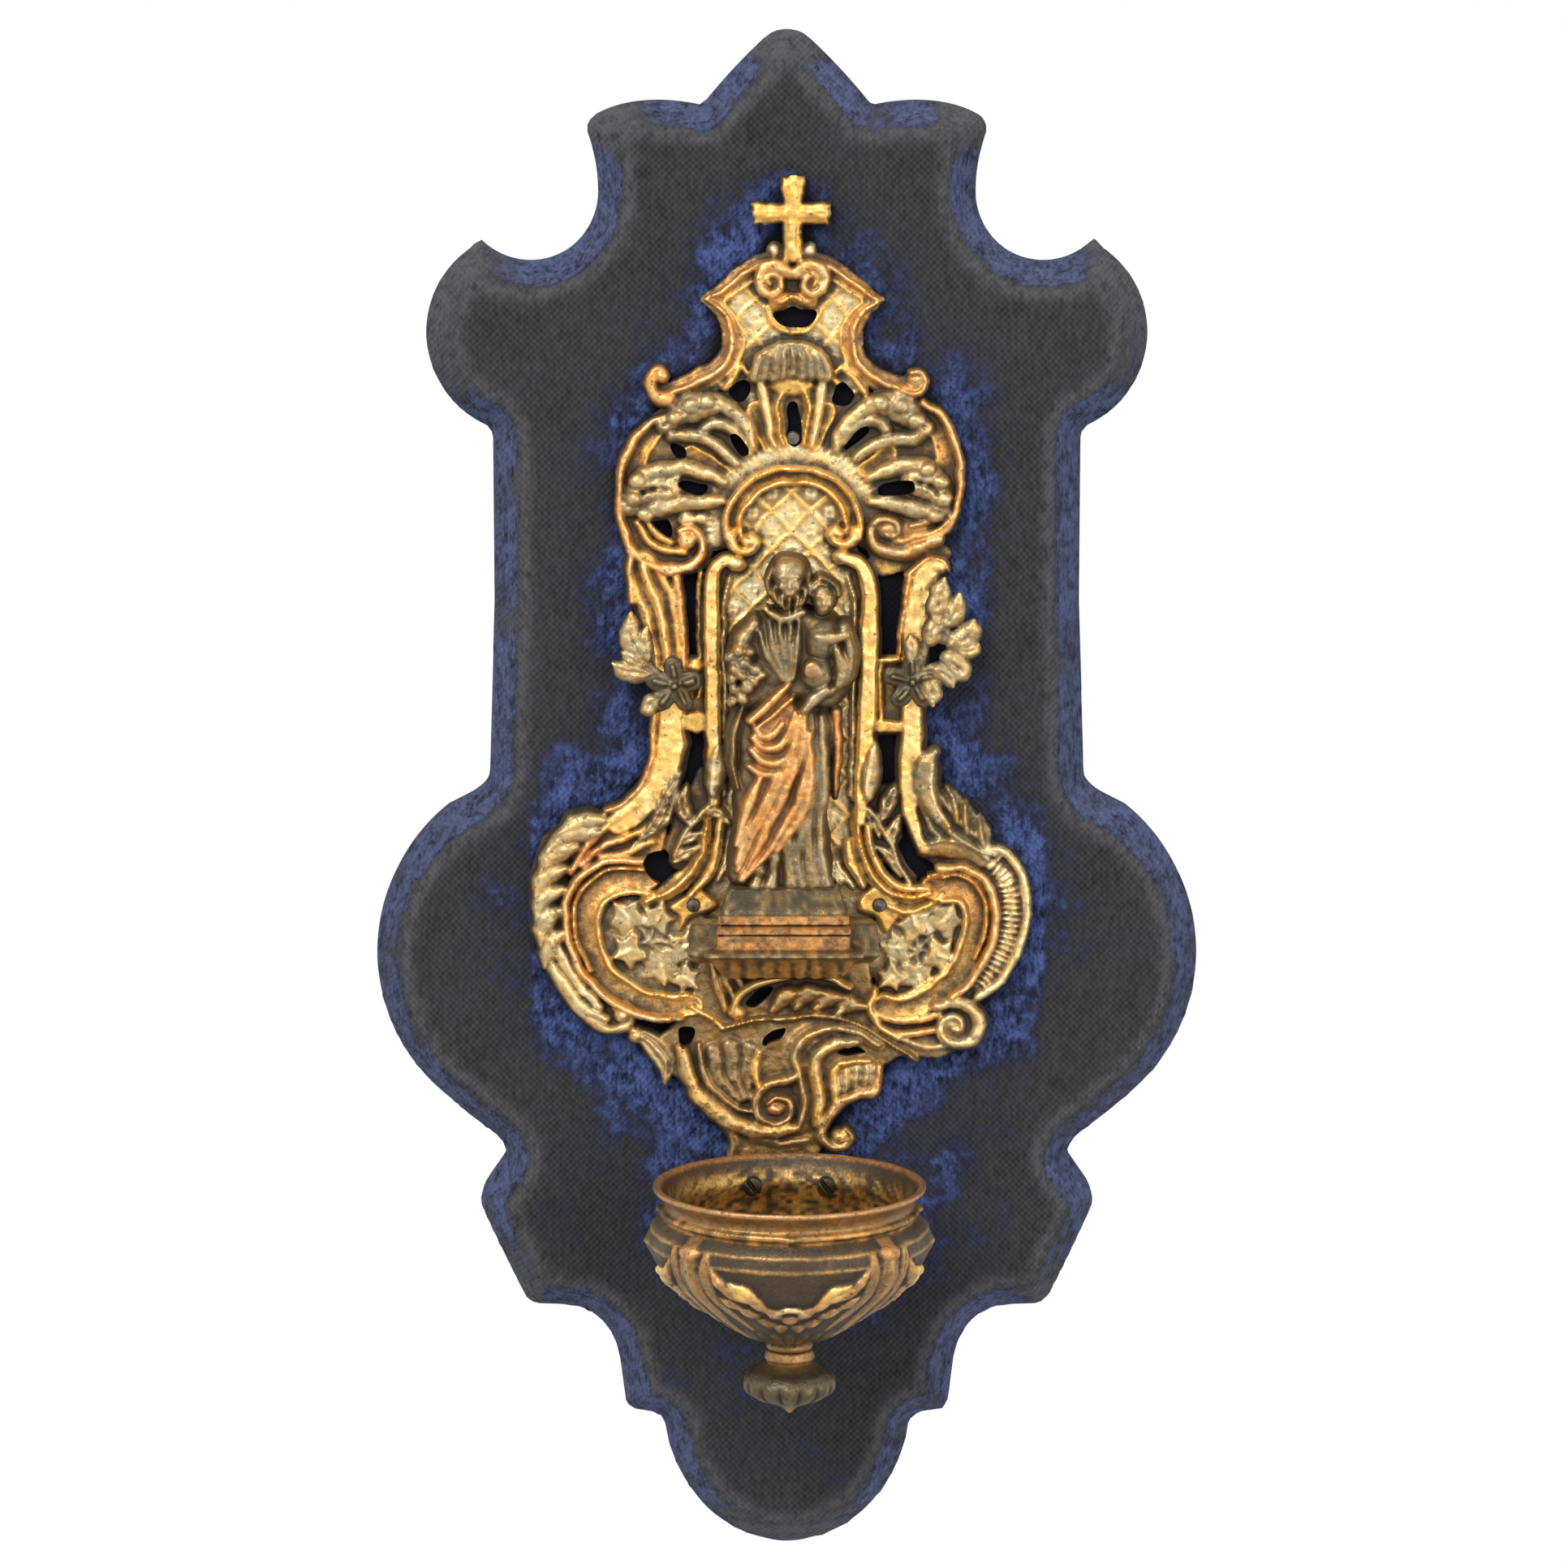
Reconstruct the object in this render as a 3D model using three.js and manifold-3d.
// Wall stoup for holy water: a velvet board, a pierced gilt relief with a figure, and a cast bowl
import * as THREE from 'three';
import Module from 'manifold-3d';

const wasm = await Module();
wasm.setup();

// Sizes in millimetres, drawn with X to the right, Y up the wall and Z out from the wall

// Gaps between pieces
const REST_GAP = 0.05; // between flat faces that rest on each other
const CLOTH_GAP = 0.3; // between the wood and the cloth drawn over it
const PIN_GAP = 0.15; // round a pin or screw in its hole

// Board and its coverings
const BOARD_TOP = 150; // the outline's highest and lowest points
const BOARD_BOTTOM = -150;
const BOARD_CORE = 10.5; // wood from its back to the flat front
const BOARD_EDGE = 4; // upright part of the wooden edge
const BEVEL_WIDTH = 5;
const VELVET_THICKNESS = 1;
const HEM_WIDTH = 11;
const LINING_THICKNESS = 0.8;
const LINING_INSET = 5;
const OUTLINE_STEP = 10; // longest chord on the curved outline

// Upholstery tacks
const TACK_HEAD_RADIUS = 2.2;
const TACK_HEAD_THICKNESS = 0.5;
const TACK_SHANK_RADIUS = 0.7;
const TACK_LENGTH = 7;
const TACK_INSET = 7; // the top and bottom tacks from the outline's ends

// Hanger let into the back
const HANGER_HEIGHT = 92; // hinge line of the ring
const POCKET_DEPTH = 6.5;
const POCKET_CLEARANCE = 3; // round the ring and the plate
const PLATE_WIDTH = 12;
const PLATE_LENGTH = 25;
const PLATE_THICKNESS = 1.2;
const RING_WIRE = 2.2;
const RING_WIDTH = 20;
const RING_DROP = 19;
const RING_CORNER = 1;
const KNUCKLE_WIDTH = 8;
const KNUCKLE_WALL = 0.9;
const PLATE_SCREW_RADIUS = 1.2;
const PLATE_SCREW_HEAD = 2.2;
const POCKET_SKIN = 1; // wood left between the pocket and a nail, and in front of a plate screw

// Relief casting
const RELIEF_OFFSET = 1.2; // the relief hangs a little to the right of the board's axis
const RELIEF_PLATE = 1.6;
const STRIP_STEP = 8; // spacing of the sections along a scroll
const TRIM = 0.6; // metal below the back before it is filed flat
const SEAT_RISE = 3.6; // pads under the sprigs, above the relief's back
const MOULDING_RISE = 4.2; // the highest scrolls, above the relief's back
const STAR_RISE = 2.6; // plates under the two lower nails

// Bowl
const BOWL_OFFSET = 0.5;
const BOWL_RIM_HEIGHT = -68.2;
const BOWL_RIM_RADIUS = 25.9;
const BOWL_THROAT_RADIUS = 23.9;
const BOWL_BELLY_RADIUS = 27.4;
const BOWL_DEPTH = 31.7; // rim to the collar under the bowl
const BOWL_WALL = 1.8;
const BOWL_STRAPS = 4;
const BOWL_SIDES = 28;
const STRAP_RISE = 0.9;
const COLLAR_RADIUS = 4.3;
const FINIAL_RADIUS = 9.2;
const FINIAL_LENGTH = 12.6;
const SPIGOT_RADIUS = 1.6;
const SPIGOT_LENGTH = 2.6;
const BOSS_WIDTH = 22;
const BOSS_HEIGHT = 6.5;
const BOSS_DROP = 4.8; // screw line below the rim
const SCREW_SPACING = 14.3;

// Screws and nails that hold the metal to the board
const SCREW_SHANK_RADIUS = 1.2;
const SCREW_HEAD_RADIUS = 2.3;
const SCREW_GRIP = 8; // length in the wood
const NAIL_HEAD_RADIUS = 1.45;
const NAIL_SHANK_RADIUS = 0.75;

// Levels worked out from the sizes, from the wall outwards
const hemBack = LINING_THICKNESS + REST_GAP;
const woodBack = hemBack + VELVET_THICKNESS + CLOTH_GAP;
const woodFront = woodBack + BOARD_CORE;
const velvetFront = woodFront + CLOTH_GAP + VELVET_THICKNESS;
const reliefBack = velvetFront + REST_GAP;
const plateFront = reliefBack + RELIEF_PLATE;
const woodInset = VELVET_THICKNESS + CLOTH_GAP;

const goldBrass = new THREE.MeshStandardMaterial({ color: 0xc79a4e, roughness: 0.38, metalness: 0.9 });
const darkBronze = new THREE.MeshStandardMaterial({ color: 0x6a6255, roughness: 0.5, metalness: 0.8 });
const bowlBronze = new THREE.MeshStandardMaterial({ color: 0x8a6f48, roughness: 0.42, metalness: 0.85 });
const silverBrass = new THREE.MeshStandardMaterial({ color: 0xa9a28a, roughness: 0.42, metalness: 0.85 });
const blueVelvet = new THREE.MeshStandardMaterial({ color: 0x2b3557, roughness: 0.95, metalness: 0 });
const poplar = new THREE.MeshStandardMaterial({ color: 0xb89467, roughness: 0.75, metalness: 0 });
const liningPaper = new THREE.MeshStandardMaterial({ color: 0x7d6a50, roughness: 0.9, metalness: 0 });
const steel = new THREE.MeshStandardMaterial({ color: 0x55524d, roughness: 0.45, metalness: 0.9 });

// Solids: a closed surface through rings of points, and joins and cuts

function toGeometry(positions, triangles) {
  const geometry = new THREE.BufferGeometry();
  geometry.setAttribute('position', new THREE.Float32BufferAttribute(positions, 3));
  geometry.setIndex(triangles);
  return geometry;
}

function signedVolume(positions, triangles) {
  let sum = 0;
  const corner = (i) => new THREE.Vector3().fromArray(positions, 3 * i);
  for (let t = 0; t < triangles.length; t += 3) {
    const [a, b, c] = [0, 1, 2].map((k) => corner(triangles[t + k]));
    sum += a.dot(b.cross(c));
  }
  return sum;
}

// Merges equal corners, drops empty triangles and turns the faces outwards
function weld(points, faces) {
  const seen = new Map();
  const positions = [];
  const index = points.map((p) => {
    const key = [p.x, p.y, p.z].map((v) => Math.round(v * 2000)).join(' ');
    if (!seen.has(key)) {
      seen.set(key, positions.length / 3);
      positions.push(p.x, p.y, p.z);
    }
    return seen.get(key);
  });
  const triangles = [];
  for (const face of faces) {
    const [a, b, c] = face.map((i) => index[i]);
    if (a !== b && b !== c && c !== a) triangles.push(a, b, c);
  }
  if (signedVolume(positions, triangles) < 0) triangles.reverse();
  return toGeometry(positions, triangles);
}

function fanFaces(ring) {
  return ring.slice(2).map((_, i) => [0, i + 1, i + 2]);
}

// Triangles over a flat ring that may be hollow on its outline; points that the triangles
// pass over on a straight stretch are tied in again, so that the surface stays closed
function flatFaces(ring) {
  const count = ring.length;
  const contour = ring.map((p) => new THREE.Vector2(p.x, p.y));
  const found = THREE.ShapeUtils.triangulateShape(contour, []);
  const sidesOf = ([a, b, c]) => [[a, b], [b, c], [c, a]];
  const follows = found.filter((face) => sidesOf(face).some(([i, j]) => j === (i + 1) % count));
  const faces = 2 * follows.length < found.length ? found.map(([a, b, c]) => [a, c, b]) : found;
  const edges = faces.flatMap(sidesOf);
  const known = new Set(edges.map(([a, b]) => `${a} ${b}`));
  for (const [a, b] of edges) {
    if (known.has(`${b} ${a}`)) continue;
    for (let k = (a + 1) % count; k !== b; k = (k + 1) % count) {
      faces.push([a, k, (k + 1) % count]);
    }
  }
  return faces;
}

// A closed solid through rings of equal length; loop joins the last ring to the first
function loft(rings, { caps = fanFaces, loop = false } = {}) {
  const size = rings[0].length;
  const faces = [];
  const spans = loop ? rings.length : rings.length - 1;
  for (let k = 0; k < spans; k += 1) {
    const near = k * size;
    const far = ((k + 1) % rings.length) * size;
    for (let i = 0; i < size; i += 1) {
      const j = (i + 1) % size;
      faces.push([near + i, near + j, far + j], [near + i, far + j, far + i]);
    }
  }
  if (!loop) {
    const last = (rings.length - 1) * size;
    for (const [a, b, c] of caps(rings[0])) faces.push([a, c, b]);
    for (const [a, b, c] of caps(rings[rings.length - 1])) faces.push([last + a, last + b, last + c]);
  }
  return weld(rings.flat(), faces);
}

function toSolid(geometry) {
  const at = geometry.getAttribute('position');
  const points = Array.from({ length: at.count }, (_, i) => new THREE.Vector3().fromBufferAttribute(at, i));
  const order = geometry.index ? Array.from(geometry.index.array) : points.map((_, i) => i);
  const faces = Array.from({ length: order.length / 3 }, (_, t) => order.slice(3 * t, 3 * t + 3));
  const welded = weld(points, faces);
  return new wasm.Manifold(new wasm.Mesh({
    numProp: 3,
    vertProperties: new Float32Array(welded.getAttribute('position').array),
    triVerts: new Uint32Array(welded.index.array),
  }));
}

function fromSolid(solid) {
  const { vertProperties, triVerts } = solid.getMesh();
  return toGeometry(Array.from(vertProperties), Array.from(triVerts));
}

function join(first, ...others) {
  return fromSolid(others.reduce((sum, next) => sum.add(toSolid(next)), toSolid(first)));
}

function cut(first, ...others) {
  return fromSolid(others.reduce((rest, next) => rest.subtract(toSolid(next)), toSolid(first)));
}

// A copy on the other side of the axis; welding turns its faces outwards again
function mirrored(geometry) {
  return geometry.clone().scale(-1, 1, 1);
}

// A drill along Z from one level to another, whose flats clear the radius
function drillAlongZ(x, y, radius, from, to, sides = 6) {
  const corner = radius / Math.cos(Math.PI / sides);
  return new THREE.CylinderGeometry(corner, corner, to - from, sides)
    .rotateX(Math.PI / 2)
    .translate(x, y, (from + to) / 2);
}

// A turned piece whose profile runs outwards along Z
function turnedAlongZ(profile, x, y, z, sides = 8) {
  const points = profile.map(([radius, height]) => new THREE.Vector2(radius, height));
  return new THREE.LatheGeometry(points, sides).rotateX(Math.PI / 2).translate(x, y, z);
}

// Board outline: the right half from the peak down to the foot

function rightHalf() {
  const path = new THREE.Path();
  path.moveTo(0, BOARD_TOP);
  path.quadraticCurveTo(2.8, BOARD_TOP, 4.7, 148);
  path.quadraticCurveTo(10.6, 142.6, 16.3, 135.6);
  path.quadraticCurveTo(28.5, 138.2, 36.5, 134);
  path.quadraticCurveTo(38.8, 132.6, 38.3, 130.4);
  path.quadraticCurveTo(36.35, 125, 36.35, 119.2);
  path.absarc(49.75, 119.2, 13.4, Math.PI, THREE.MathUtils.degToRad(315), false);
  path.quadraticCurveTo(60, 110, 60.6, 108.6);
  path.absarc(50.1, 92, 19.65, THREE.MathUtils.degToRad(57.7), THREE.MathUtils.degToRad(-67), true);
  path.quadraticCurveTo(57, 73, 57, 71.5);
  path.lineTo(57, 40);
  path.lineTo(58.2, 6.5);
  path.quadraticCurveTo(58.5, 3, 63.5, 0.8);
  path.absarc(43.6, -30, 37.2, THREE.MathUtils.degToRad(51.5), THREE.MathUtils.degToRad(-53), true);
  path.quadraticCurveTo(62.5, -63, 58.5, -65.8);
  path.quadraticCurveTo(55, -68.6, 55.9, -71);
  path.lineTo(59.2, -75.8);
  path.quadraticCurveTo(61.6, -79, 60.4, -81.6);
  path.quadraticCurveTo(56.7, -90.1, 52.3, -99);
  path.quadraticCurveTo(51.4, -101, 49.2, -101);
  path.lineTo(45, -101.1);
  path.quadraticCurveTo(35.6, -101.6, 33.4, -111.5);
  path.lineTo(32.3, -120.2);
  path.quadraticCurveTo(32, -122.6, 29.8, -122.9);
  path.lineTo(27, -123.3);
  path.quadraticCurveTo(24.6, -123.8, 24.3, -126);
  path.bezierCurveTo(22.6, -138, 13.5, BOARD_BOTTOM, 0, BOARD_BOTTOM);
  return path;
}

function boardOutline() {
  const right = [];
  for (const curve of rightHalf().curves) {
    const steps = curve.isLineCurve ? 1 : Math.max(2, Math.ceil(curve.getLength() / OUTLINE_STEP));
    right.push(...curve.getPoints(steps).slice(0, -1));
  }
  right.push(new THREE.Vector2(0, BOARD_BOTTOM));
  const left = right.slice(1, -1).reverse().map((p) => new THREE.Vector2(-p.x, p.y));
  return [...right, ...left];
}

function distanceToLine(p, a, b) {
  const along = b.clone().sub(a);
  const share = THREE.MathUtils.clamp(p.clone().sub(a).dot(along) / along.lengthSq(), 0, 1);
  return p.distanceTo(a.clone().addScaledVector(along, share));
}

// Where the line through one point meets the line through another
function meeting(a, alongA, b, alongB) {
  const turn = alongA.cross(alongB);
  const share = b.clone().sub(a).cross(alongB) / turn;
  return a.clone().addScaledVector(alongA, share);
}

// The outline moved inwards; points that would cross over at a sharp corner meet in its mitre
function inset(points, distance) {
  if (distance === 0) return points;
  const count = points.length;
  const at = (list, i) => list[(i + count) % count];
  const along = (i) => at(points, i + 1).clone().sub(at(points, i)).normalize();
  const moved = points.map((p, i) => {
    const before = along(i - 1);
    const after = along(i);
    const mitre = new THREE.Vector2(before.y + after.y, -before.x - after.x).normalize();
    return p.clone().addScaledVector(mitre, distance / Math.max(mitre.cross(after), 0.4));
  });
  const isClear = (q) => points.every((a, i) => distanceToLine(q, a, at(points, i + 1)) > 0.999 * distance);
  const clear = moved.map(isClear);
  const mitred = moved.map((q, i) => {
    if (clear[i]) return q;
    let back = i;
    let ahead = i;
    while (!at(clear, back)) back -= 1;
    while (!at(clear, ahead)) ahead += 1;
    return meeting(at(moved, back), along(back), at(moved, ahead), along(ahead - 1));
  });
  return mitred.map((q, i) => {
    const turnsBack = at(mitred, i + 1).clone().sub(q).dot(along(i)) < 0.01;
    return turnsBack ? at(mitred, i + 1) : q;
  });
}

const outline = boardOutline();

function outlineRing(distance, level) {
  return inset(outline, distance).map((p) => new THREE.Vector3(p.x, p.y, level));
}

// The pocket is a slot with round ends, one concentric with the ring and one round the plate's top
function pocketShape(margin) {
  const shape = new THREE.Shape();
  const halfWidth = Math.max(RING_WIDTH, PLATE_WIDTH) / 2 + POCKET_CLEARANCE;
  const upper = HANGER_HEIGHT + PLATE_LENGTH + PLATE_WIDTH / 2 - halfWidth;
  const lower = HANGER_HEIGHT - RING_DROP + RING_WIDTH / 2;
  shape.absarc(0, upper, halfWidth + margin, 0, Math.PI, false);
  shape.absarc(0, lower, halfWidth + margin, Math.PI, 2 * Math.PI, false);
  return shape;
}

function pocketBlock(margin, from, to) {
  const depth = to - from;
  return new THREE.ExtrudeGeometry(pocketShape(margin), { depth, bevelEnabled: false, curveSegments: 8 })
    .translate(0, 0, from);
}

// Fixing points in the board's own X and Y
const reliefNails = [[-19.4, -18.6], [16.8, -18.6], [0, 72.3]].map(([x, y]) => [x + RELIEF_OFFSET, y]);
const bowlScrews = [-1, 1].map((side) => [
  BOWL_OFFSET + side * SCREW_SPACING / 2,
  BOWL_RIM_HEIGHT - BOSS_DROP,
]);
const tackPlaces = [
  [0, BOARD_TOP - TACK_INSET], [-61, 92], [61, 92], [-73, -30], [73, -30], [-52, -90], [52, -90],
  [0, BOARD_BOTTOM + TACK_INSET],
];
const pocketFloor = woodBack + POCKET_DEPTH;
const plateScrews = [0.32, 0.76].map((share) => [0, HANGER_HEIGHT + share * PLATE_LENGTH]);
const plateScrewTip = woodFront - POCKET_SKIN;
const nailTip = pocketFloor + POCKET_SKIN;

function fixingHoles(from, to) {
  return [
    ...reliefNails.map(([x, y]) => drillAlongZ(x, y, NAIL_SHANK_RADIUS + PIN_GAP, from, to)),
    ...bowlScrews.map(([x, y]) => drillAlongZ(x, y, SCREW_SHANK_RADIUS + PIN_GAP, from, to)),
  ];
}

function backBoard() {
  const core = loft([
    outlineRing(woodInset, woodBack),
    outlineRing(woodInset, woodBack + BOARD_EDGE),
    outlineRing(woodInset + BEVEL_WIDTH, woodFront),
  ], { caps: flatFaces });
  const screwFoot = reliefBack - SCREW_GRIP - PIN_GAP;
  const tackTip = hemBack + TACK_LENGTH + PIN_GAP;
  return cut(
    core,
    pocketBlock(0, 0, pocketFloor),
    ...reliefNails.map(([x, y]) => drillAlongZ(x, y, NAIL_SHANK_RADIUS + PIN_GAP, nailTip, velvetFront)),
    ...bowlScrews.map(([x, y]) => drillAlongZ(x, y, SCREW_SHANK_RADIUS + PIN_GAP, screwFoot, velvetFront)),
    ...tackPlaces.map(([x, y]) => drillAlongZ(x, y, TACK_SHANK_RADIUS + PIN_GAP, 0, tackTip)),
    ...plateScrews.map(([x, y]) => drillAlongZ(x, y, PLATE_SCREW_RADIUS + PIN_GAP, woodBack, plateScrewTip)),
  );
}

// Velvet drawn over the front and the edge, with a hem turned on to the back
function velvetCover() {
  const inner = VELVET_THICKNESS;
  const edgeTop = woodBack + BOARD_EDGE;
  const hemFront = hemBack + VELVET_THICKNESS;
  const innerFront = velvetFront - VELVET_THICKNESS;
  const shell = loft([
    outlineRing(BEVEL_WIDTH + 0.6, velvetFront),
    outlineRing(0, edgeTop + 0.5),
    outlineRing(0, hemBack),
    outlineRing(HEM_WIDTH, hemBack),
    outlineRing(HEM_WIDTH, hemFront),
    outlineRing(inner, hemFront),
    outlineRing(inner, edgeTop + 0.15),
    outlineRing(inner + BEVEL_WIDTH, innerFront),
  ], { caps: flatFaces });
  const headSeat = hemBack + TACK_HEAD_THICKNESS + REST_GAP;
  return cut(
    shell,
    ...fixingHoles(woodFront, velvetFront + 1),
    ...tackPlaces.map(([x, y]) => drillAlongZ(x, y, TACK_HEAD_RADIUS + PIN_GAP, 0, headSeat)),
    ...tackPlaces.map(([x, y]) => drillAlongZ(x, y, TACK_SHANK_RADIUS + PIN_GAP, 0, woodBack)),
  );
}

function backLining() {
  const faces = [outlineRing(LINING_INSET, 0), outlineRing(LINING_INSET, LINING_THICKNESS)];
  const sheet = loft(faces, { caps: flatFaces });
  return cut(sheet, pocketBlock(1, -1, LINING_THICKNESS + 1));
}

function tack(x, y) {
  const profile = [
    [0, 0], [TACK_HEAD_RADIUS, 0], [TACK_HEAD_RADIUS, TACK_HEAD_THICKNESS],
    [TACK_SHANK_RADIUS, TACK_HEAD_THICKNESS], [TACK_SHANK_RADIUS, TACK_LENGTH - 2], [0, TACK_LENGTH],
  ];
  return turnedAlongZ(profile, x, y, hemBack, 6);
}

// Hanger: a plate with a knuckle on the pocket's floor, and a D ring that turns in it

const ringRadius = RING_WIRE / 2;
const knuckleRadius = ringRadius + PIN_GAP + KNUCKLE_WALL;
const plateBack = pocketFloor - REST_GAP - PLATE_THICKNESS;
const hingeLevel = plateBack + PLATE_THICKNESS - knuckleRadius;

function hangerPlate() {
  const plate = new THREE.BoxGeometry(PLATE_WIDTH, PLATE_LENGTH, PLATE_THICKNESS)
    .translate(0, HANGER_HEIGHT + PLATE_LENGTH / 2, plateBack + PLATE_THICKNESS / 2);
  const knuckle = new THREE.CylinderGeometry(knuckleRadius, knuckleRadius, KNUCKLE_WIDTH, 14)
    .rotateZ(Math.PI / 2).translate(0, HANGER_HEIGHT, hingeLevel);
  const bore = new THREE.CylinderGeometry(ringRadius + PIN_GAP, ringRadius + PIN_GAP, PLATE_WIDTH + 2, 14)
    .rotateZ(Math.PI / 2).translate(0, HANGER_HEIGHT, hingeLevel);
  const slotSize = 3 * knuckleRadius;
  const endSlots = [-1, 1].map((side) => new THREE.BoxGeometry(PLATE_WIDTH, slotSize, slotSize)
    .translate(side * (KNUCKLE_WIDTH / 2 + PLATE_WIDTH / 2), HANGER_HEIGHT, hingeLevel));
  const holes = plateScrews.map(([x, y]) =>
    drillAlongZ(x, y, PLATE_SCREW_RADIUS + PIN_GAP, plateBack - 1, pocketFloor + 1));
  return cut(cut(join(plate, knuckle), ...endSlots), bore, ...holes);
}

// The ring's middle line is a straight bar and a half round, a closed D in the XY plane
function hangerRing() {
  const halfWidth = RING_WIDTH / 2 - ringRadius;
  const drop = RING_DROP - RING_WIDTH / 2;
  const path = new THREE.Path();
  path.moveTo(RING_CORNER - halfWidth, 0);
  path.lineTo(halfWidth - RING_CORNER, 0);
  path.quadraticCurveTo(halfWidth, 0, halfWidth, -1.4 * RING_CORNER);
  path.lineTo(halfWidth, -drop);
  path.absarc(0, -drop, halfWidth, 0, -Math.PI, true);
  path.lineTo(-halfWidth, -1.4 * RING_CORNER);
  path.quadraticCurveTo(-halfWidth, 0, RING_CORNER - halfWidth, 0);
  const middle = path.curves.flatMap((curve) => curve.getPoints(curve.isLineCurve ? 1 : 5).slice(0, -1));
  const count = middle.length;
  const rings = middle.map((p, i) => {
    const along = middle[(i + 1) % count].clone().sub(middle[(i + count - 1) % count]).normalize();
    const side = new THREE.Vector3(along.y, -along.x, 0);
    return Array.from({ length: 8 }, (_, k) => {
      const turn = (k / 8) * 2 * Math.PI;
      return new THREE.Vector3(p.x, p.y, 0)
        .addScaledVector(side, ringRadius * Math.cos(turn))
        .add(new THREE.Vector3(0, 0, ringRadius * Math.sin(turn)));
    });
  });
  return loft(rings, { loop: true }).translate(0, HANGER_HEIGHT, hingeLevel);
}

function hangerScrew(x, y) {
  const headHeight = 1;
  const headBack = plateBack - REST_GAP - headHeight;
  const length = plateScrewTip - PIN_GAP - headBack;
  const profile = [
    [0, 0], [PLATE_SCREW_HEAD * 0.6, 0], [PLATE_SCREW_HEAD, headHeight], [PLATE_SCREW_RADIUS, headHeight],
    [PLATE_SCREW_RADIUS, length - 1], [0, length],
  ];
  return turnedAlongZ(profile, x, y, headBack);
}

// Relief: scrolls and leaves are bevelled strips laid along curves, on a pierced plate

function measure(values, share) {
  if (!Array.isArray(values)) return values;
  const place = share * (values.length - 1);
  const step = Math.min(Math.floor(place), values.length - 2);
  return THREE.MathUtils.lerp(values[step], values[step + 1], place - step);
}

// A strip of bevelled section along a curve through the points; its height is measured from base,
// and foot is where its sides start
function strip(points, width, height, { base = 0, foot = base - TRIM, step = STRIP_STEP } = {}) {
  const through = points.map(([x, y]) => new THREE.Vector3(x, y, 0));
  const curve = new THREE.CatmullRomCurve3(through, false, 'centripetal');
  const count = Math.max(2, Math.round(curve.getLength() / step));
  const section = [[-1, 0], [-0.62, 1], [0.62, 1], [1, 0]];
  const rings = Array.from({ length: count + 1 }, (_, k) => {
    const share = k / count;
    const middle = curve.getPointAt(share);
    const along = curve.getTangentAt(share);
    const half = measure(width, share) / 2;
    const rise = measure(height, share);
    return section.map(([across, up]) => new THREE.Vector3(
      middle.x - along.y * across * half,
      middle.y + along.x * across * half,
      up ? base + rise : foot,
    ));
  });
  return loft(rings);
}

// A boss with an oval foot
function boss(x, y, halfWidth, halfHeight, rise, base = 0) {
  const profile = [[0, -2 * TRIM], [1, -2 * TRIM], [0.8, 0.62 * rise], [0, rise]];
  return turnedAlongZ(profile, 0, 0, base).scale(halfWidth, halfHeight, 1).translate(x, y, 0);
}

// A flat plate from its outline, with piercings cut through it
function slab(points, { holes = [], thickness = RELIEF_PLATE } = {}) {
  const block = (corners, from, to) => {
    const shape = new THREE.Shape(corners.map(([x, y]) => new THREE.Vector2(x, y)));
    return new THREE.ExtrudeGeometry(shape, { depth: to - from, bevelEnabled: false }).translate(0, 0, from);
  };
  const piercings = holes.map((hole) => block(hole, -2 * TRIM, thickness + 1));
  return cut(block(points, -1.5 * TRIM, thickness), ...piercings);
}

function arc(x, y, halfWidth, halfHeight, from, to, count) {
  return Array.from({ length: count + 1 }, (_, k) => {
    const turn = THREE.MathUtils.degToRad(THREE.MathUtils.lerp(from, to, k / count));
    return [x + halfWidth * Math.cos(turn), y + halfHeight * Math.sin(turn)];
  });
}

function both(...pieces) {
  return [...pieces, ...pieces.map(mirrored)];
}

function twoSided(rightSide) {
  const left = rightSide.slice().reverse().filter(([x]) => x > 0).map(([x, y]) => [-x, y]);
  return [...rightSide, ...left];
}

// Crest: a cartouche with a pierced eye under two volutes
function crest() {
  const eye = [[-4, 96.3], [-2.4, 94.1], [0, 93.3], [2.6, 93.7], [4.2, 96.5], [1.6, 97], [0, 97.6], [-2, 97]];
  const panel = slab(twoSided([
    [0, 105.4], [5, 105.8], [9, 104], [12.6, 101.3], [16, 99.1], [13.4, 96], [12.3, 92], [12.6, 88.6],
    [15, 85], [18, 82.6], [13, 81.8], [11.6, 82.2], [9.6, 84], [8, 83], [7, 79], [0, 78],
  ]), { holes: [eye] });
  const topEdge = [[0.9, 103.6], [3, 105.9], [5.6, 106], [9, 104.4], [12.6, 101.6], [16.6, 99.2]];
  const sideEdge = [
    [16.6, 98.9], [13.8, 96.3], [12.3, 93], [12.1, 90], [13, 87], [15.6, 84.3], [19, 82.3], [23, 80.6],
  ];
  const sides = both(
    strip(topEdge, [2, 2.6, 2.4, 1.6], 3.2),
    strip(sideEdge, [1.6, 2.8, 3, 3.4], 3.2),
    boss(3.9, 102.3, 2.6, 2.7, 4.4),
    boss(24.9, 82.6, 2.9, 3.1, 4.2),
  );
  const eyeEdge = [[-5, 98], [-4.7, 95], [-2.6, 93], [0, 92.2], [2.6, 93], [4.7, 95], [5, 98]];
  return [panel, ...sides, strip(eyeEdge, 1.5, 2.8, { step: 3 })];
}

// Cross on the crest: a shaft and arms with bevelled faces and two small foot leaves
function cross() {
  const shaft = strip([[0, 105.2], [0, 113], [0, 122.2]], [2.6, 3.4, 4.6], 4.4, { step: 6 });
  const arms = strip([[-7.5, 115.1], [0, 115.5], [7, 115.1]], [4, 3.2, 3, 3.2, 4], 4, { step: 4 });
  const feet = both(boss(2.9, 108.1, 1.8, 2, 2.6));
  return [shaft, arms, ...feet];
}

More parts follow.
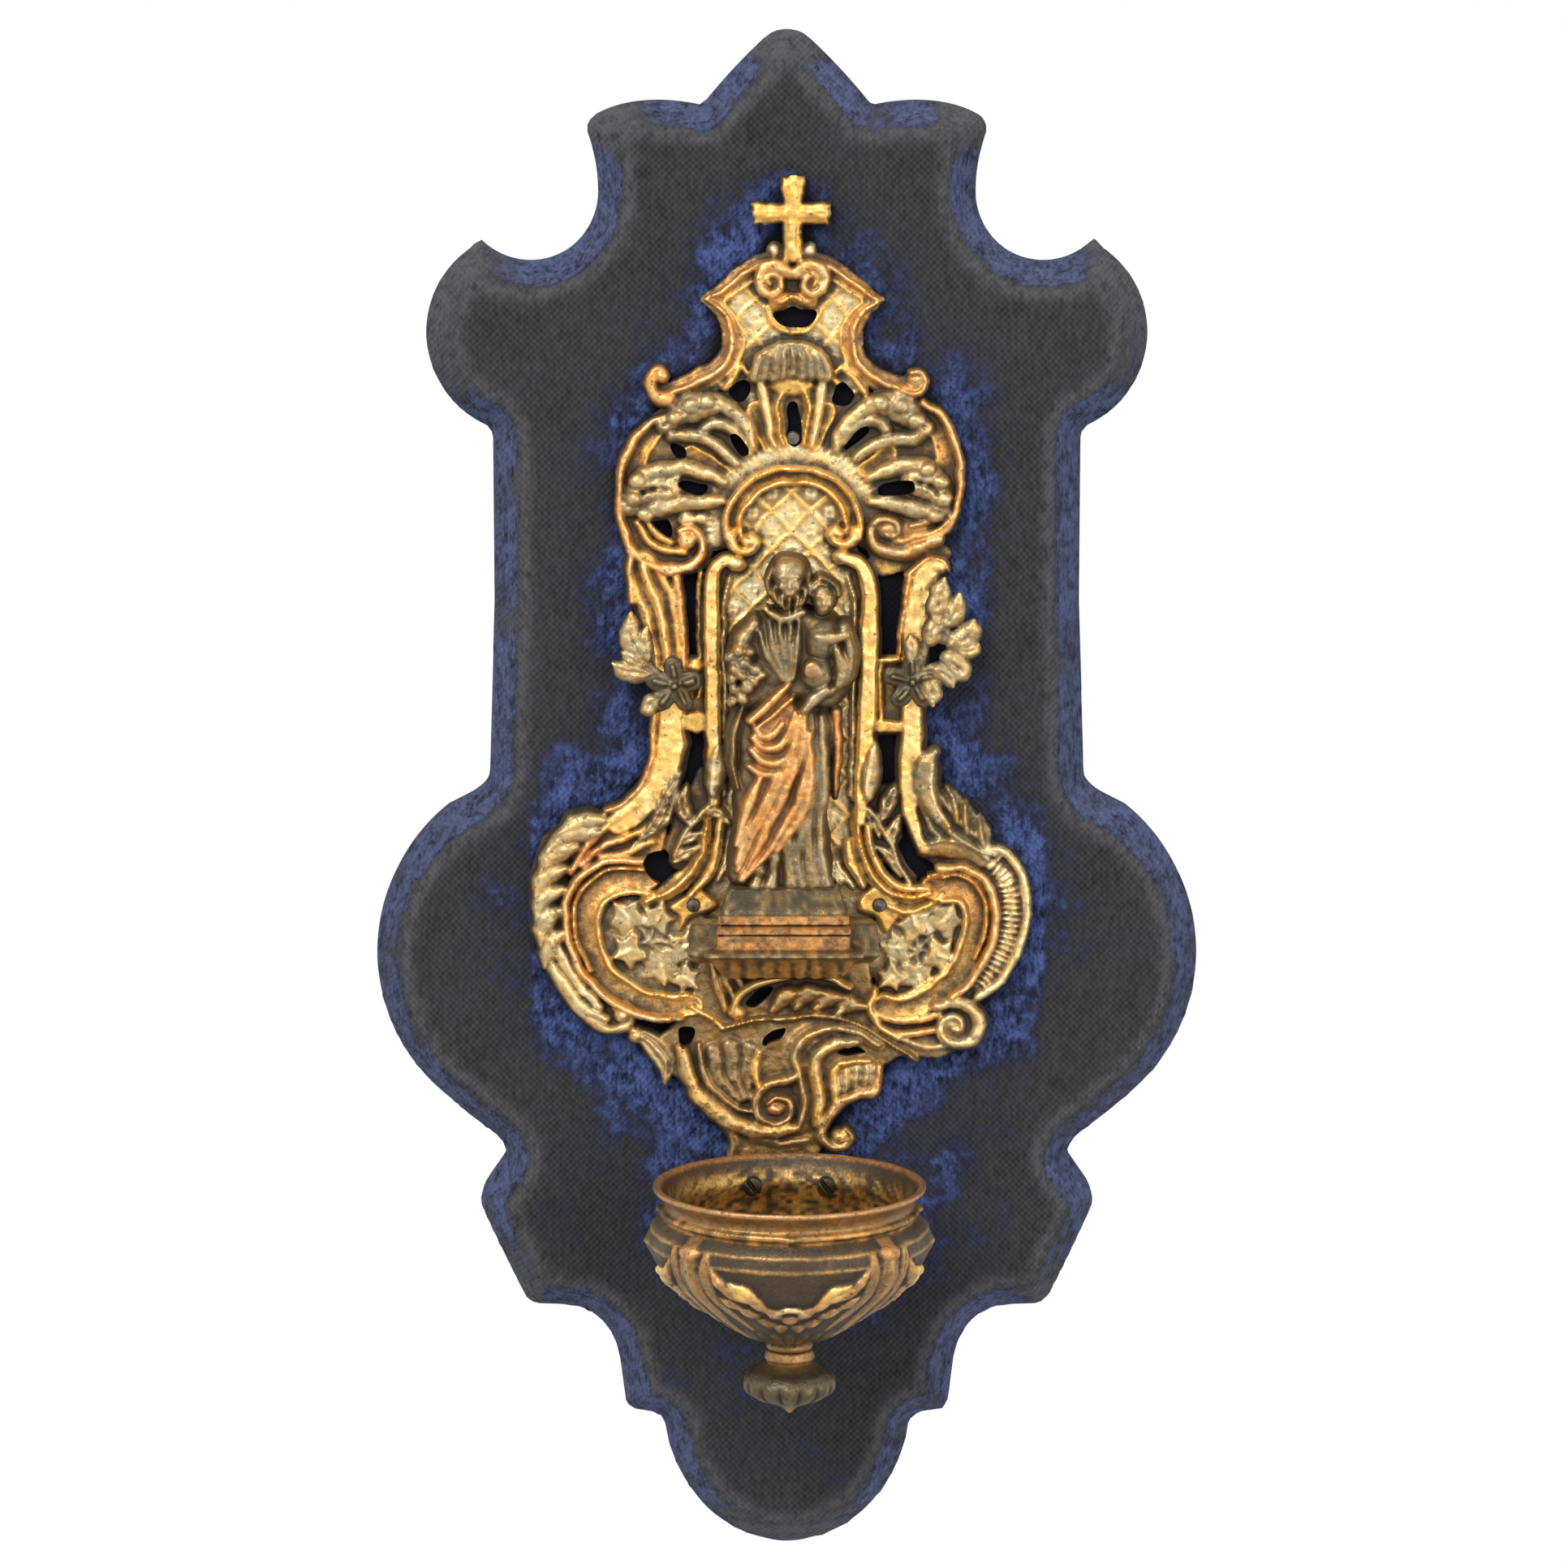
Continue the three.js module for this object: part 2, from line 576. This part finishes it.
// Shell: five looped plumes with darts between them, round a fringed band
function shell() {
  const loop = [
    [-2.9, 69], [-3.3, 75], [-3.6, 80], [-2.4, 83.4], [0, 84.4], [2.4, 83.4], [3.6, 80], [3.3, 75], [2.9, 69],
  ];
  const sides = both(
    strip([[8.2, 70.2], [9.6, 74.4], [12.4, 77.4], [16, 78.9], [20.4, 77.8]], [2.6, 3, 3.4], 3.4),
    strip([[11.6, 67.6], [14.8, 70.6], [18.6, 72.4], [23, 73.2]], [2.6, 3, 3.4], 3.4),
    boss(21.8, 75.6, 4.2, 3.6, 4.6),
    strip([[14.2, 65.2], [19, 66.5], [24, 66.6], [28, 65]], [2.4, 3, 3], 3.4),
    strip([[14.4, 60], [20, 60], [25, 59.4], [28.4, 60.4]], [2.4, 3, 3], 3.4),
    boss(28, 62.6, 3.6, 4.4, 4.6),
    strip([[7.3, 77.4], [4.9, 70.8]], 2.5, 3),
    strip([[18.8, 69.2], [13.4, 66.2]], 2.5, 3),
    slab([
      [6.6, 78.4], [14, 78.4], [15.4, 75.8], [11, 75], [8.6, 71], [10.4, 69.4], [15.4, 74], [20, 75],
      [27.6, 66], [26, 63.9], [16.2, 63.2], [16.2, 61.4], [23, 61.8], [27, 60], [14, 57], [9, 64],
      [2, 66.6], [2, 71.4], [4, 80],
    ]),
  );
  const band = strip(arc(0, 56, 13.9, 12.6, -8, 188, 16), 3.6, 2.4);
  return [strip(loop, 3.2, 3.4), boss(-0.4, 87, 7.2, 3.4, 4.6), ...sides, band];
}

// Niche: a diapered ground under a round arch, between two jambs with curled heads
function niche() {
  const ground = slab([...arc(0, 55.6, 12, 9.6, 0, 180, 10), [-15, 48], [-15.4, -14], [15.4, -14], [15, 48]]);
  const arch = strip(arc(0, 55.6, 11.8, 9.9, -16, 196, 14), 2.8, 4.4);
  const jamb = [[10.4, 49.2], [13, 48.7], [14.8, 46.4], [15.2, 42], [15.2, 30], [15, 14], [14.8, 3]];
  const jambs = both(
    boss(8.6, 53.2, 1.9, 1.9, 4.6),
    strip(jamb, [3.4, 3.2, 3.4, 3.4, 3.2], MOULDING_RISE),
    boss(10.4, 49, 2, 1.9, 4.6),
    strip([[12.4, 45], [13, 40], [12.9, 22]], 1, 2.6, { step: 12 }),
  );
  return [ground, arch, ...jambs];
}

// Outer frame: C scrolls beside the shell, stiles below them and their ties to the jambs
function sideFrames() {
  const scroll = [
    [24.6, 77], [29, 74.6], [31.7, 70], [32.8, 64], [32.4, 58], [30.4, 53.4], [27, 50.8], [23, 49.8],
    [19.6, 50.4],
  ];
  const scrollGround = [
    [15, 46.5], [20.4, 46.5], [22.6, 44], [30.6, 47], [29.5, 52], [31.5, 58], [31.5, 66], [28.5, 72],
    [26.6, 68], [29.6, 62], [28, 56.8], [23, 54], [22, 56.4], [27, 58.6], [25, 60.6], [15, 60],
  ];
  return both(
    strip(scroll, [1.8, 3, 3.4, 3.4, 3], 3.8),
    boss(19.7, 53, 2.8, 2.8, 4.4),
    slab(scrollGround),
    strip([[27.6, 47.6], [25.8, 44], [24.3, 38], [23.8, 29.6]], [6.6, 5.6, 5.2, 5.6], SEAT_RISE),
    strip([[23.4, 20], [23.5, 12], [24.8, 5.6], [28, 1], [32.6, -2.6]], [6, 6, 5.6, 5], SEAT_RISE),
    slab([[14, 16.6], [25, 16.6], [25, 29.6], [14, 29.6]]),
    boss(18.8, 28.2, 1.5, 1.5, 3.2),
    boss(18.8, 18.4, 1.5, 1.5, 3.2),
    strip([[16, 3.8], [15.6, 8.4], [15.7, 13.2]], [1.4, 3.4, 0.8], 4.8),
    strip([[20.4, -3], [20.6, 1], [20.2, 5.4]], [2, 3.2, 1], 3.4),
    strip([[13.2, 2.4], [17, -1.4], [20.4, -6]], [1.2, 2.6, 2], SEAT_RISE),
  );
}

// Lower brackets, and the wings: hollow C mouldings round leaf panels
function wings() {
  const moulding = [
    [27, -12], [33, -10.8], [38, -13.2], [40.5, -18], [40, -24], [37.2, -30.4], [32.4, -35.4], [26.4, -38.4],
    [19.6, -38.8],
  ];
  const mouldingGround = [
    [25.5, -12], [33, -11], [39, -15], [40, -23], [36.5, -31], [30, -36.5], [20, -39], [12, -42], [11, -20],
    [20, -16],
  ];
  const sides = both(
    strip([[14.4, 4], [14.2, -4], [16.2, -10], [19.8, -14.6], [25.6, -17.2]], [3, 4.2, 4.4, 4], 4),
    slab([[13, 4], [16.5, 4], [21.5, -12.5], [27, -14], [27, -20], [13, -20]]),
    boss(18.1, -18.6, 3.4, 3.2, STAR_RISE),
    strip(moulding, [4, 5.2, 5.6, 5.2, 4], MOULDING_RISE),
    slab(mouldingGround),
    strip([[19, -33.5], [25, -30], [31, -21]], [3, 4.4, 1.4], 3.6),
    strip([[19.6, -27], [26, -22.5], [30.6, -18.4]], [2.4, 3.6, 1.2], 3.2),
    strip([[22, -35.2], [28.6, -31.6], [34, -26]], [2.4, 3.6, 1.2], 3.2),
    slab([[21, 4], [27, 4], [34, -3], [37, -10.2], [33, -12], [27.6, -10.6], [24.6, -4]]),
  );
  const acanthus = [
    [-33.4, -1], [-40.5, -2.4], [-46, -7], [-48.7, -14], [-48.4, -22], [-45.6, -30.6], [-41.2, -37.6],
    [-35.6, -41.6],
  ];
  const leftLeaf = [
    strip(acanthus, [3, 5, 5.4, 5.4, 4.6, 3.4], 3.2),
    slab([
      [-34, -1.5], [-41, -3], [-46, -8], [-48, -15], [-47.6, -23], [-44.6, -31], [-40, -37.4], [-37, -37],
      [-40, -23], [-39, -13],
    ]),
    boss(-33.8, -41, 2.9, 2.6, 4),
    boss(-30.6, -43.6, 1.7, 1.7, 2.8),
    slab([[-34, -41], [-31, -36], [-24, -38], [-26, -45], [-31, -44.6]]),
  ];
  const ribbedBand = [[36, -7.4], [41.6, -10.6], [44, -16], [43.8, -23], [41, -30], [36.4, -35.6]];
  const rightBand = [
    strip(ribbedBand, [3.4, 4.8, 5.2, 5, 4], 3.2),
    slab([[38, -9.5], [42.6, -13], [43, -22], [40, -30], [35, -35], [34, -32], [38.6, -23], [38, -14]]),
    strip([[24.4, 11], [25.6, 4.6], [29.4, -1.6], [35, -6.6], [38.6, -8.8]], [2.4, 5.4, 6, 4.6, 2], 3.6),
    boss(31.6, -41.6, 4.6, 4.2, 4.4),
    strip([[20.6, -44], [26, -46], [32, -45.2]], [3, 3.6, 3], 2.6),
    slab([[17, -38], [26, -37], [32, -36], [33, -44], [26, -46], [20, -44]]),
  ];
  return [...sides, ...leftLeaf, ...rightBand];
}

// Tail: pierced rocaille that runs down to a tongue behind the bowl, wide enough for the bowl's boss
function tail() {
  const leftGap = [[-9.6, -38.2], [-7.4, -39.6], [-4.2, -34.8], [-6.6, -35]];
  const middleGap = [[-6.2, -46], [-5, -44], [-2.2, -43.2], [-4.4, -45.2], [-5.4, -47]];
  const sideGap = [[-22.4, -43.2], [-19.4, -43.2], [-19.8, -46], [-21.6, -46.4]];
  const slit = [[8.8, -48.1], [9.4, -47.3], [13, -47.3], [13.8, -48.1]];
  const ground = slab([
    [-19, -30], [17, -30], [18, -44], [21, -46.4], [17.6, -50.4], [15.8, -56.6], [10.6, -57], [7.4, -61],
    [7, -66], [-11.2, -66], [-17, -60.6], [-21.4, -54], [-26, -53], [-25.6, -47.6], [-28, -44],
  ], { holes: [leftGap, middleGap, sideGap, slit] });
  const middle = BOWL_OFFSET - RELIEF_OFFSET;
  const half = BOSS_WIDTH / 2 + 0.8;
  const shoulder = BOWL_RIM_HEIGHT - 0.8;
  const foot = BOWL_RIM_HEIGHT - BOSS_DROP - BOSS_HEIGHT;
  const tongue = slab([
    [middle - 7, -64], [middle + 7, -64], [middle + half, shoulder], [middle + half, foot],
    [middle + 7, foot - 10], [middle - 7, foot - 10], [middle - half, foot], [middle - half, shoulder],
  ]);
  const edgeScroll = [[17.2, -50.6], [15.4, -56.4], [10.4, -57.6], [7.4, -61.4], [6.6, -65.4]];
  return [
    ground,
    tongue,
    strip([[-21.6, -48], [-20, -54], [-16.4, -59.4], [-11, -63], [-4.6, -64.8]], [2, 2.8, 2.8, 2.2], 3.6),
    strip([[-28.4, -43.6], [-25.8, -47.6], [-25, -53.4]], [2.4, 2.8, 2], 3),
    strip([[12.6, -42.4], [18.4, -46], [24, -49.6]], [2.2, 2.8, 2.2], 3),
    strip(edgeScroll, [2, 2.6, 2.4], 3.2, { step: 3.5 }),
    boss(9.6, -65, 2, 2, 3.8),
    boss(-3, -59.2, 2.6, 2.4, 4),
    strip([[-2, -44], [1, -49.6], [2, -56], [1, -63]], [2, 2.8, 2.4], 3.4),
    strip([[0.6, -42.2], [6, -43.4], [11.6, -45], [16.6, -48.6]], [2, 2.6, 2], 3.2),
    strip([[3.4, -59], [4.6, -53], [8.6, -49.8]], [1.8, 2.6, 2], 3),
    strip([[-17.6, -54], [-14, -57.6], [-9, -60.6]], [1.6, 2.4, 1.6], 2.8),
    strip([[-9.6, -50], [-9.4, -55], [-7.4, -60]], [1.4, 2, 1.4], 2.8),
  ];
}

// Flat pads on the ties, one under each flower
const flowerLeft = [-22.6, 24.5];
const flowerRight = [22, 25.6];

function sprigPads() {
  const ring = ([x, y]) => arc(x, y, 2.6, 2.6, 0, 315, 7);
  return [flowerLeft, flowerRight].map((place) => slab(ring(place), { thickness: SEAT_RISE }));
}

function reliefFrame() {
  const pieces = [
    ...niche(), ...shell(), ...crest(), ...cross(), ...sideFrames(), ...wings(), ...tail(), ...sprigPads(),
  ];
  const reach = BOARD_TOP - BOARD_BOTTOM;
  const filed = new THREE.BoxGeometry(reach, reach, 4 * TRIM).translate(0, 0, -2 * TRIM);
  const casting = cut(join(...pieces), filed).translate(RELIEF_OFFSET, 0, reliefBack);
  return cut(casting, ...fixingHoles(velvetFront - 1, plateFront + 8));
}

// Flower sprigs laid over the ties of the side frames

// An open flower: a lobed outline that narrows in steps to a round eye
function flower(x, y, lobes, radius, rise) {
  const count = 3 * lobes;
  const ring = (size, depth, level) => Array.from({ length: count }, (_, k) => {
    const turn = (k / count) * 2 * Math.PI;
    const reach = size * (1 + depth * Math.cos(lobes * turn));
    return new THREE.Vector3(x + reach * Math.cos(turn), y + reach * Math.sin(turn), level);
  });
  return loft([
    ring(0.9 * radius, 0.24, 0), ring(0.95 * radius, 0.26, 0.5 * rise), ring(0.5 * radius, 0.2, 0.8 * rise),
    ring(0.3 * radius, 0, 0.7 * rise), ring(0.2 * radius, 0, rise),
  ]);
}

// A flower with leaves on stems; each leaf is given by its foot, its tip and its width
function sprig([x, y], radius, leaves) {
  const blades = leaves.map(([foot, tip, width]) => {
    const middle = [(foot[0] + tip[0]) / 2, (foot[1] + tip[1]) / 2];
    const widths = [1.6, 1.4, width, 0.8 * width, 0.6];
    return strip([[x, y], foot, middle, tip], widths, 1.8, { foot: 0, step: 3.2 });
  });
  const sprigLevel = reliefBack + SEAT_RISE + REST_GAP;
  return join(flower(x, y, 5, radius, 3.2), ...blades).translate(RELIEF_OFFSET, 0, sprigLevel);
}

function sprigLeft() {
  return sprig(flowerLeft, 4.2, [
    [[-28.6, 30.6], [-30.6, 39.4], 4.4],
    [[-27.6, 27.2], [-34.4, 28.9], 3.8],
    [[-26.4, 22.6], [-28, 19.4], 2.6],
  ]);
}

function sprigRight() {
  return sprig(flowerRight, 4.4, [
    [[26.6, 34.4], [29.2, 45], 5],
    [[30, 31], [34, 37.6], 4.4],
    [[29, 28.6], [33.4, 26.4], 3.8],
    [[24.6, 26.6], [26.6, 21.2], 3.6],
  ]);
}

// Figure: a robed saint with a child on one arm, half round with a flat back

function figureSection([y, x, halfWidth, depth]) {
  return arc(x, 0, halfWidth, depth, 0, 180, 8).map(([px, pz]) => new THREE.Vector3(px, y, pz));
}

function head(x, y, z, halfWidth, halfHeight) {
  return new THREE.SphereGeometry(1, 10, 7).scale(halfWidth, halfHeight, halfWidth).translate(x, y, z);
}

function figure() {
  const robe = loft([
    [-13.8, -1.6, 9.4, 5], [-6, -1.4, 10.2, 5.6], [6, -0.6, 10.8, 6.2], [18, -0.4, 11.4, 7],
    [28, -0.4, 11.6, 7.4], [34, -0.2, 11, 7], [38, 0, 8.6, 5.4], [40.4, -0.4, 4, 4.6], [43, -0.6, 2.2, 4],
  ].map(figureSection));
  const sleeve = { base: 5.4, step: 3.5 };
  const parts = [
    robe,
    head(-0.8, 45.8, 3.6, 3.3, 4.2),
    strip([[-3, 41.4], [-0.8, 39.6], [1.4, 41.4]], [1.6, 3.4, 1.6], 3, { base: 3.6, step: 2 }),
    head(5.9, 42.2, 6, 2.6, 2.9),
    boss(6.4, 37, 4, 4.6, 4.4, 5),
    strip([[-9.6, 34], [-9.8, 27], [-4.6, 24.4], [2, 26.4]], [4.4, 4.6, 3.6, 2.6], 4, sleeve),
    strip([[10, 35], [10.6, 28], [5.6, 24.6], [1.6, 28]], [4.2, 4.6, 3.6, 2.6], 4, sleeve),
    strip([[-1.6, 25], [-6, 22.4], [-9, 18.4]], [2, 3.4, 3], 2.6, { base: 6 }),
    strip([[-9, 17], [-8.4, 4], [-9, -12]], [2.4, 2.2, 2.6], 2.4, { base: 3, step: 8 }),
    strip([[-3, 20], [-4.6, 4], [-6, -12.6]], [2.4, 2.6, 3], 2, { base: 5.6, step: 8 }),
    strip([[1, 19], [0.6, 4], [-0.6, -12.6]], [2.2, 2.6, 3], 2, { base: 5.6, step: 8 }),
    strip([[5.6, 20], [5.4, 4], [4.6, -12.6]], [2.4, 2.4, 2.8], 2, { base: 4.6, step: 8 }),
    strip([[9.6, 18], [9.4, 4], [7.6, -12.4]], [2, 2.2, 2.4], 2.4, { base: 2.6, step: 8 }),
  ];
  return join(...parts).translate(RELIEF_OFFSET, 0, plateFront + REST_GAP);
}

// Console under the figure: plinth, mouldings and a hollow corbel that stand on the plate, and two
// ends that pass over the scrolls of the frame; depths are measured from the relief's back
function consoleBracket() {
  const seat = RELIEF_PLATE + REST_GAP;
  const bridge = MOULDING_RISE + REST_GAP;
  const moulded = (profile, from, to) => {
    const shape = new THREE.Shape(profile.map(([depth, y]) => new THREE.Vector2(-depth, y)));
    return new THREE.ExtrudeGeometry(shape, { depth: to - from, bevelEnabled: false })
      .rotateY(Math.PI / 2).translate(from, 0, 0);
  };
  const plinth = moulded([
    [seat, -14.2], [10.6, -14.2], [10.6, -19.6], [11.6, -20.4], [11.6, -21.8], [10.8, -22.4], [12, -23.4],
    [12, -24.2], [seat, -24.2],
  ], -14.2, 10.6);
  const block = moulded([
    [bridge, -24.2], [12.4, -24.2], [12.4, -27.2], [13.8, -27.8], [13.8, -28.8], [12.4, -29.4],
    [bridge, -29.4],
  ], -16.4, 12.8);
  const ends = moulded([
    [bridge, -21.6], [8.8, -21.6], [8.8, -27.4], [9.6, -28.6], [bridge, -30],
  ], -20.4, 16.8);
  const corbel = loft([
    [-29.2, -1.8, 13, 12], [-30.4, -1.8, 12, 9.4], [-32, -1.8, 10.8, 7], [-33.8, -1.8, 9.4, 5.2],
  ].map(figureSection)).translate(0, 0, seat);
  return join(plinth, block, ends, corbel).translate(RELIEF_OFFSET, 0, reliefBack);
}

// Bowl: a turned wall with raised straps, and a flat boss at the back for its two screws

const bowlAxis = plateFront + REST_GAP + BOWL_BELLY_RADIUS + STRAP_RISE;
const bowlFoot = BOWL_RIM_HEIGHT - BOWL_DEPTH;

// Heights are shares of the depth, radii below the belly shares of the belly's
function bowlProfile() {
  const curve = (stations, count) => new THREE.SplineCurve(
    stations.map(([radius, share]) => new THREE.Vector2(radius, -share * BOWL_DEPTH)),
  ).getPoints(count);
  const outside = curve([
    [BOWL_RIM_RADIUS, 0], [BOWL_THROAT_RADIUS, 0.114], [BOWL_THROAT_RADIUS + 0.6, 0.19],
    [BOWL_BELLY_RADIUS, 0.334], [0.927 * BOWL_BELLY_RADIUS, 0.517], [0.68 * BOWL_BELLY_RADIUS, 0.681],
    [0.42 * BOWL_BELLY_RADIUS, 0.839], [COLLAR_RADIUS, 0.95],
  ], 9);
  const inside = curve([
    [BOWL_RIM_RADIUS - BOWL_WALL, 0], [BOWL_THROAT_RADIUS - BOWL_WALL, 0.114],
    [BOWL_BELLY_RADIUS - 2 * BOWL_WALL, 0.347], [0.635 * BOWL_BELLY_RADIUS, 0.618],
    [0.33 * BOWL_BELLY_RADIUS, 0.757], [0, 0.8],
  ], 6).reverse();
  const foot = [new THREE.Vector2(COLLAR_RADIUS, -BOWL_DEPTH), new THREE.Vector2(0, -BOWL_DEPTH)];
  const lip = new THREE.Vector2(BOWL_RIM_RADIUS - BOWL_WALL / 2, 0.7);
  return { outside, inside, points: [...inside, lip, ...outside, ...foot] };
}

// One raised strap that follows the wall from the shoulder to the collar
function bowlStrap(outside, turn) {
  const wall = outside.filter((p) => p.y < -0.2 * BOWL_DEPTH && p.y > -0.86 * BOWL_DEPTH);
  const rings = wall.map((p, i) => {
    const half = THREE.MathUtils.lerp(2.2, 1, i / (wall.length - 1));
    return [[-half, -1], [-half * 0.8, STRAP_RISE], [half * 0.8, STRAP_RISE], [half, -1]]
      .map(([across, rise]) => new THREE.Vector3(across, p.y, p.x + rise));
  });
  return loft(rings).rotateY(turn);
}

function bowl() {
  const { outside, inside, points } = bowlProfile();
  const wall = new THREE.LatheGeometry(points, BOWL_SIDES);
  const turns = Array.from({ length: BOWL_STRAPS }, (_, k) => ((k + 0.5) / BOWL_STRAPS) * 2 * Math.PI);
  const straps = turns.map((turn) => bowlStrap(outside, turn));
  const bossDepth = bowlAxis - plateFront - REST_GAP - BOWL_THROAT_RADIUS + 2.6;
  const back = new THREE.BoxGeometry(BOSS_WIDTH, BOSS_HEIGHT, bossDepth)
    .translate(0, -BOSS_DROP, plateFront + REST_GAP + bossDepth / 2 - bowlAxis);
  const hollow = new THREE.LatheGeometry([...inside, new THREE.Vector2(0, 0.7)], BOWL_SIDES);
  const boreRadius = SPIGOT_RADIUS + PIN_GAP;
  const boreLength = SPIGOT_LENGTH + PIN_GAP;
  const socket = new THREE.CylinderGeometry(boreRadius, boreRadius, 2 * boreLength, 12)
    .translate(0, -BOWL_DEPTH, 0);
  const body = cut(join(wall, ...straps), socket);
  const solid = join(body, cut(back, hollow)).translate(BOWL_OFFSET, BOWL_RIM_HEIGHT, bowlAxis);
  return cut(solid, ...bowlScrews.map(([x, y]) =>
    drillAlongZ(x, y, SCREW_SHANK_RADIUS + PIN_GAP, plateFront - 1, bowlAxis)));
}

// Finial screwed under the bowl: a turban knob with a pointed drop
function bowlFinial() {
  const knob = [
    [0.39, 0.16], [0.76, 0.254], [1, 0.508], [0.87, 0.714], [0.5, 0.841], [0.196, 0.905], [0, 1],
  ].map(([radius, share]) => [radius * FINIAL_RADIUS, -share * FINIAL_LENGTH]);
  const collar = [
    [0, SPIGOT_LENGTH], [SPIGOT_RADIUS, SPIGOT_LENGTH], [SPIGOT_RADIUS, 0], [COLLAR_RADIUS, 0],
    [COLLAR_RADIUS + 0.4, -0.08 * FINIAL_LENGTH],
  ];
  const profile = [...collar, ...knob].map(([radius, height]) => new THREE.Vector2(radius, height));
  return new THREE.LatheGeometry(profile, 20).translate(BOWL_OFFSET, bowlFoot - REST_GAP, bowlAxis);
}

// Round-headed screw from inside the bowl into the board
function bowlScrew(x, y) {
  const throat = BOWL_THROAT_RADIUS - BOWL_WALL;
  const seat = bowlAxis - Math.sqrt(throat ** 2 - (SCREW_SPACING / 2 - SCREW_HEAD_RADIUS) ** 2) + 1.6;
  const tip = reliefBack - SCREW_GRIP - seat;
  const profile = [
    [0, tip], [SCREW_SHANK_RADIUS, tip + 1.6], [SCREW_SHANK_RADIUS, 0], [SCREW_HEAD_RADIUS, 0],
    [SCREW_HEAD_RADIUS * 0.8, 1], [0, 1.5],
  ];
  return turnedAlongZ(profile, x, y, seat, 10);
}

function reliefNail(x, y, seat) {
  const tip = nailTip + PIN_GAP - seat;
  const profile = [
    [0, tip], [NAIL_SHANK_RADIUS, tip + 1.4], [NAIL_SHANK_RADIUS, 0], [NAIL_HEAD_RADIUS, 0],
    [NAIL_HEAD_RADIUS * 0.8, 0.7], [0, 1],
  ];
  return turnedAlongZ(profile, x, y, seat, 10);
}

const stoup = new THREE.Group();
stoup.name = 'holy_water_stoup';
stoup.rotation.x = Math.PI / 2; // stands the drawing's Y axis up as the model's Z

function add(name, geometry, material) {
  const mesh = new THREE.Mesh(fromSolid(toSolid(geometry)), material);
  mesh.name = name;
  stoup.add(mesh);
}

add('back_board', backBoard(), poplar);
add('velvet_cover', velvetCover(), blueVelvet);
add('back_lining', backLining(), liningPaper);
tackPlaces.forEach(([x, y], i) => add(`hem_tack_${i + 1}`, tack(x, y), steel));
add('hanger_plate', hangerPlate(), goldBrass);
add('hanger_ring', hangerRing(), goldBrass);
plateScrews.forEach(([x, y], i) => add(`hanger_screw_${i + 1}`, hangerScrew(x, y), steel));
add('relief_frame', reliefFrame(), goldBrass);
add('flower_sprig_left', sprigLeft(), silverBrass);
add('flower_sprig_right', sprigRight(), silverBrass);
add('saint_figure', figure(), darkBronze);
add('figure_console', consoleBracket(), darkBronze);
add('bowl', bowl(), bowlBronze);
add('bowl_finial', bowlFinial(), bowlBronze);
bowlScrews.forEach(([x, y], i) => add(`bowl_screw_${i + 1}`, bowlScrew(x, y), goldBrass));
const starTop = reliefBack + STAR_RISE + REST_GAP;
const nailSeats = [starTop, starTop, plateFront + REST_GAP];
reliefNails.forEach(([x, y], i) => add(`relief_nail_${i + 1}`, reliefNail(x, y, nailSeats[i]), steel));

export default stoup;
